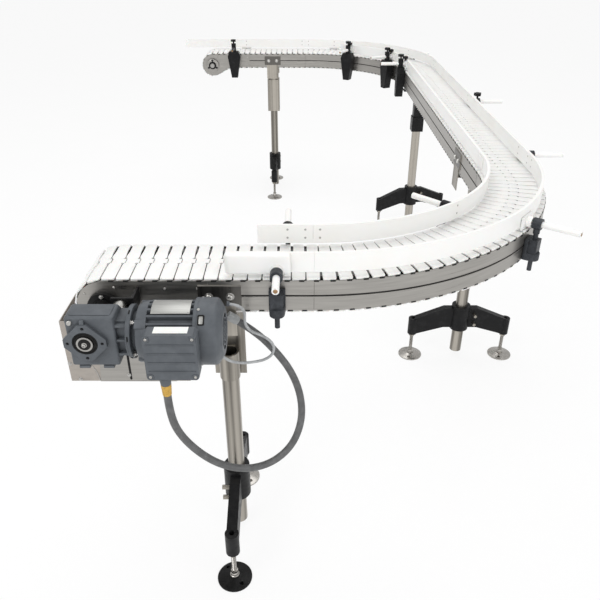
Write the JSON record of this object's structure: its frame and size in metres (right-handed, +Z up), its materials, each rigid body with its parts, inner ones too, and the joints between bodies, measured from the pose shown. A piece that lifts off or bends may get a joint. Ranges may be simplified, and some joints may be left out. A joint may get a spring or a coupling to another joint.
{
  "type": "U-shaped slat chain conveyor",
  "caption": "U-shaped slat-chain conveyor with two bends, a side gearmotor, guide rails on adjustable brackets and round-tube stands on levelling feet.",
  "frame": {"origin": "centre of the sole of the front foot of the drive stand, on the floor", "axes": "+X along the first leg from the drive end to the first bend, +Y along the middle leg, +Z up"},
  "size_m": [1.8782, 3.997, 1.1358],
  "materials": {
    "chain_white": "smooth moulded acetal",
    "guide_white": "extruded polyethylene, satin",
    "wear_dark": "extruded polyethylene",
    "rail_steel": "brushed stainless steel",
    "stand_steel": "satin stainless steel",
    "guard_beige": "satin paint",
    "shaft_steel": "ground steel",
    "sprocket_plastic": "machined nylon",
    "motor_paint": "dark blue-grey paint on cast housing",
    "fastener_steel": "zinc plated",
    "black_plastic": "glass-filled nylon",
    "black_steel": "black paint",
    "bracket_grey": "moulded grey nylon",
    "foot_black": "moulded nylon",
    "foot_steel": "cast and turned stainless steel",
    "gland_yellow": "moulded",
    "conduit_grey": "flexible sheath",
    "sleeve_grey": "moulded",
    "lead_grey": "flexible sheath"
  },
  "bodies": {
    "conveyor": {"bend_side_rails": "rail_steel", "bend_tracks": "wear_dark", "chain_drive_wrap": "chain_white", "chain_idler_wrap": "chain_white", "chain_return_run": "chain_white", "chain_top_run": "chain_white", "conduit_gland": "gland_yellow", "conduit_sleeve": "sleeve_grey", "drive_guard_sheet": "rail_steel", "drive_guard_trough": "guard_beige", "end_plates": "rail_steel", "fan_cover": "motor_paint", "fan_cover_lead": "lead_grey", "flange_bearings": "black_plastic", "foot_lock_nuts": "stand_steel", "frame_cross_bars": "rail_steel", "gearbox_housing": "motor_paint", "guide_brackets": "bracket_grey", "middle_stand_head": "black_plastic", "motor_conduit": "conduit_grey", "motor_end_shield": "motor_paint", "moulded_brackets": "black_plastic", "stand_bases": "black_plastic", "stand_bolts": "stand_steel", "stand_heads": "stand_steel", "stand_tubes": "stand_steel", "stator_housing": "motor_paint", "straight_side_rails": "rail_steel", "terminal_box": "motor_paint", "terminal_box_lid": "motor_paint", "terminal_box_screws": "fastener_steel", "torque_arm": "black_steel", "torque_bush": "stand_steel", "wear_strips": "wear_dark"},
    "drive": {"drive_shaft": "shaft_steel", "drive_sprocket": "sprocket_plastic", "hollow_shaft": "shaft_steel"},
    "idler": {"idler_shaft": "shaft_steel", "idler_sprocket": "sprocket_plastic"},
    "rotor": {"motor_rotor_shaft": "shaft_steel", "cooling_fan": "black_plastic"},
    "outer_guide": {"outer_guide": "guide_white", "outer_guide_posts": "bracket_grey", "outer_guide_rods": "guide_white"},
    "inner_guide": {"inner_guide": "guide_white", "inner_guide_posts": "black_plastic", "inner_guide_rods": "guide_white"},
    "bend_stand_foot_inner": {"bend_stand_foot_inner": "foot_steel"},
    "bend_stand_foot_outer": {"bend_stand_foot_outer": "foot_steel"},
    "drive_stand_foot_inner": {"drive_stand_foot_inner": "foot_steel"},
    "drive_stand_foot_outer": {"drive_stand_foot_outer": "foot_black"},
    "idler_stand_foot_inner": {"idler_stand_foot_inner": "foot_steel"},
    "idler_stand_foot_outer": {"idler_stand_foot_outer": "foot_steel"},
    "middle_stand_foot_inner": {"middle_stand_foot_inner": "foot_steel"},
    "middle_stand_foot_outer": {"middle_stand_foot_outer": "foot_steel"},
    "bend_start_knob": {"bend_start_knob": "black_plastic"},
    "bend_quarter_knob": {"bend_quarter_knob": "black_plastic"},
    "bend_end_knob": {"bend_end_knob": "black_plastic"},
    "idler_knob": {"idler_knob": "black_plastic"},
    "middle_leg_knob": {"middle_leg_knob": "black_plastic"}
  },
  "joints": [
    {"name": "drive_spin", "type": "hinge", "parent": "conveyor", "child": "drive", "pos_m": [-0.307, 0.22, 0.9604], "axis": [0, 1, 0], "continuous": true},
    {"name": "idler_spin", "type": "hinge", "parent": "conveyor", "child": "idler", "pos_m": [-0.41454, 3.585, 0.9604], "axis": [0, -1, 0], "continuous": true},
    {"name": "rotor_spin", "type": "hinge", "parent": "conveyor", "child": "rotor", "pos_m": [0, -0.0075, 0.9604], "axis": [1, 0, 0], "continuous": true},
    {"name": "outer_guide_height", "type": "slide", "parent": "conveyor", "child": "outer_guide", "axis": [0, 0, 1], "range_m": [0, 0.03]},
    {"name": "inner_guide_height", "type": "slide", "parent": "conveyor", "child": "inner_guide", "axis": [0, 0, 1], "range_m": [0, 0.03]},
    {"name": "bend_stand_inner_levelling", "type": "slide", "parent": "conveyor", "child": "bend_stand_foot_inner", "axis": [0, 0, -1], "range_m": [0, 0.04]},
    {"name": "bend_stand_outer_levelling", "type": "slide", "parent": "conveyor", "child": "bend_stand_foot_outer", "axis": [0, 0, -1], "range_m": [0, 0.04]},
    {"name": "drive_stand_inner_levelling", "type": "slide", "parent": "conveyor", "child": "drive_stand_foot_inner", "axis": [0, 0, -1], "range_m": [0, 0.04]},
    {"name": "drive_stand_outer_levelling", "type": "slide", "parent": "conveyor", "child": "drive_stand_foot_outer", "axis": [0, 0, -1], "range_m": [0, 0.04]},
    {"name": "idler_stand_inner_levelling", "type": "slide", "parent": "conveyor", "child": "idler_stand_foot_inner", "axis": [0, 0, -1], "range_m": [0, 0.04]},
    {"name": "idler_stand_outer_levelling", "type": "slide", "parent": "conveyor", "child": "idler_stand_foot_outer", "axis": [0, 0, -1], "range_m": [0, 0.04]},
    {"name": "middle_stand_inner_levelling", "type": "slide", "parent": "conveyor", "child": "middle_stand_foot_inner", "axis": [0, 0, -1], "range_m": [0, 0.04]},
    {"name": "middle_stand_outer_levelling", "type": "slide", "parent": "conveyor", "child": "middle_stand_foot_outer", "axis": [0, 0, -1], "range_m": [0, 0.04]},
    {"name": "bend_start_knob_turn", "type": "hinge", "parent": "inner_guide", "child": "bend_start_knob", "pos_m": [0.84099, 2.86466, 1.1095], "axis": [0, 0, 1], "continuous": true},
    {"name": "bend_quarter_knob_turn", "type": "hinge", "parent": "inner_guide", "child": "bend_quarter_knob", "pos_m": [0.78536, 3.11081, 1.1095], "axis": [0, 0, 1], "continuous": true},
    {"name": "bend_end_knob_turn", "type": "hinge", "parent": "inner_guide", "child": "bend_end_knob", "pos_m": [0.54424, 3.37372, 1.1095], "axis": [0, 0, 1], "continuous": true},
    {"name": "idler_knob_turn", "type": "hinge", "parent": "conveyor", "child": "idler_knob", "pos_m": [-0.256, 3.454, 1.1095], "axis": [0, 0, 1], "continuous": true},
    {"name": "middle_leg_knob_turn", "type": "hinge", "parent": "outer_guide", "child": "middle_leg_knob", "pos_m": [1.101, 1.94406, 1.079], "axis": [0, 0, 1], "continuous": true}
  ],
  "couplings": [
    {"joint": "idler_spin", "follows": "drive_spin", "ratio": 1},
    {"joint": "rotor_spin", "follows": "drive_spin", "ratio": 20}
  ]
}
